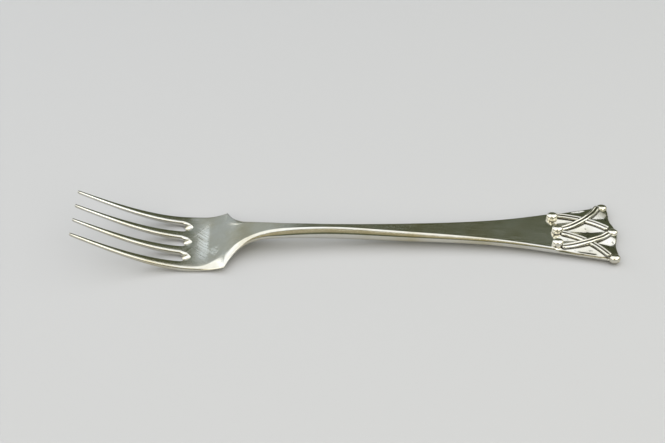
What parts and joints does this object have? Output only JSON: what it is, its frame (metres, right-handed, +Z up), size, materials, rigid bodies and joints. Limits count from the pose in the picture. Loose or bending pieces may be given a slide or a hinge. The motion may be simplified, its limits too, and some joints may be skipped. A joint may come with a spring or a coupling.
{
  "type": "child fork",
  "caption": "Child's silver fork with slim tines, a shallow bowl with peaked shoulders, a slender stem and a flared handle end bearing crossed reeded straps between small knobs.",
  "frame": {"origin": "on the table the fork lies on, under the middle of its bounding box", "axes": "+X from the tines to the handle's end, +Y to the far side of the picture, +Z up from the table"},
  "size_m": [0.15, 0.0228, 0.0138],
  "materials": {
    "forged_silver": "polished silver with fine wear scratches",
    "strap_silver": "polished silver",
    "knob_silver": "bright polished silver"
  },
  "bodies": {
    "root": {"fork_body": "forged_silver", "strap_far_to_middle": "strap_silver", "strap_middle_to_far": "strap_silver", "strap_middle_to_near": "strap_silver", "strap_near_to_middle": "strap_silver", "knob_inner_far": "knob_silver", "knob_inner_middle": "knob_silver", "knob_inner_near": "knob_silver", "knob_end_far": "knob_silver", "knob_end_middle": "knob_silver", "knob_end_near": "knob_silver"}
  },
  "joints": []
}
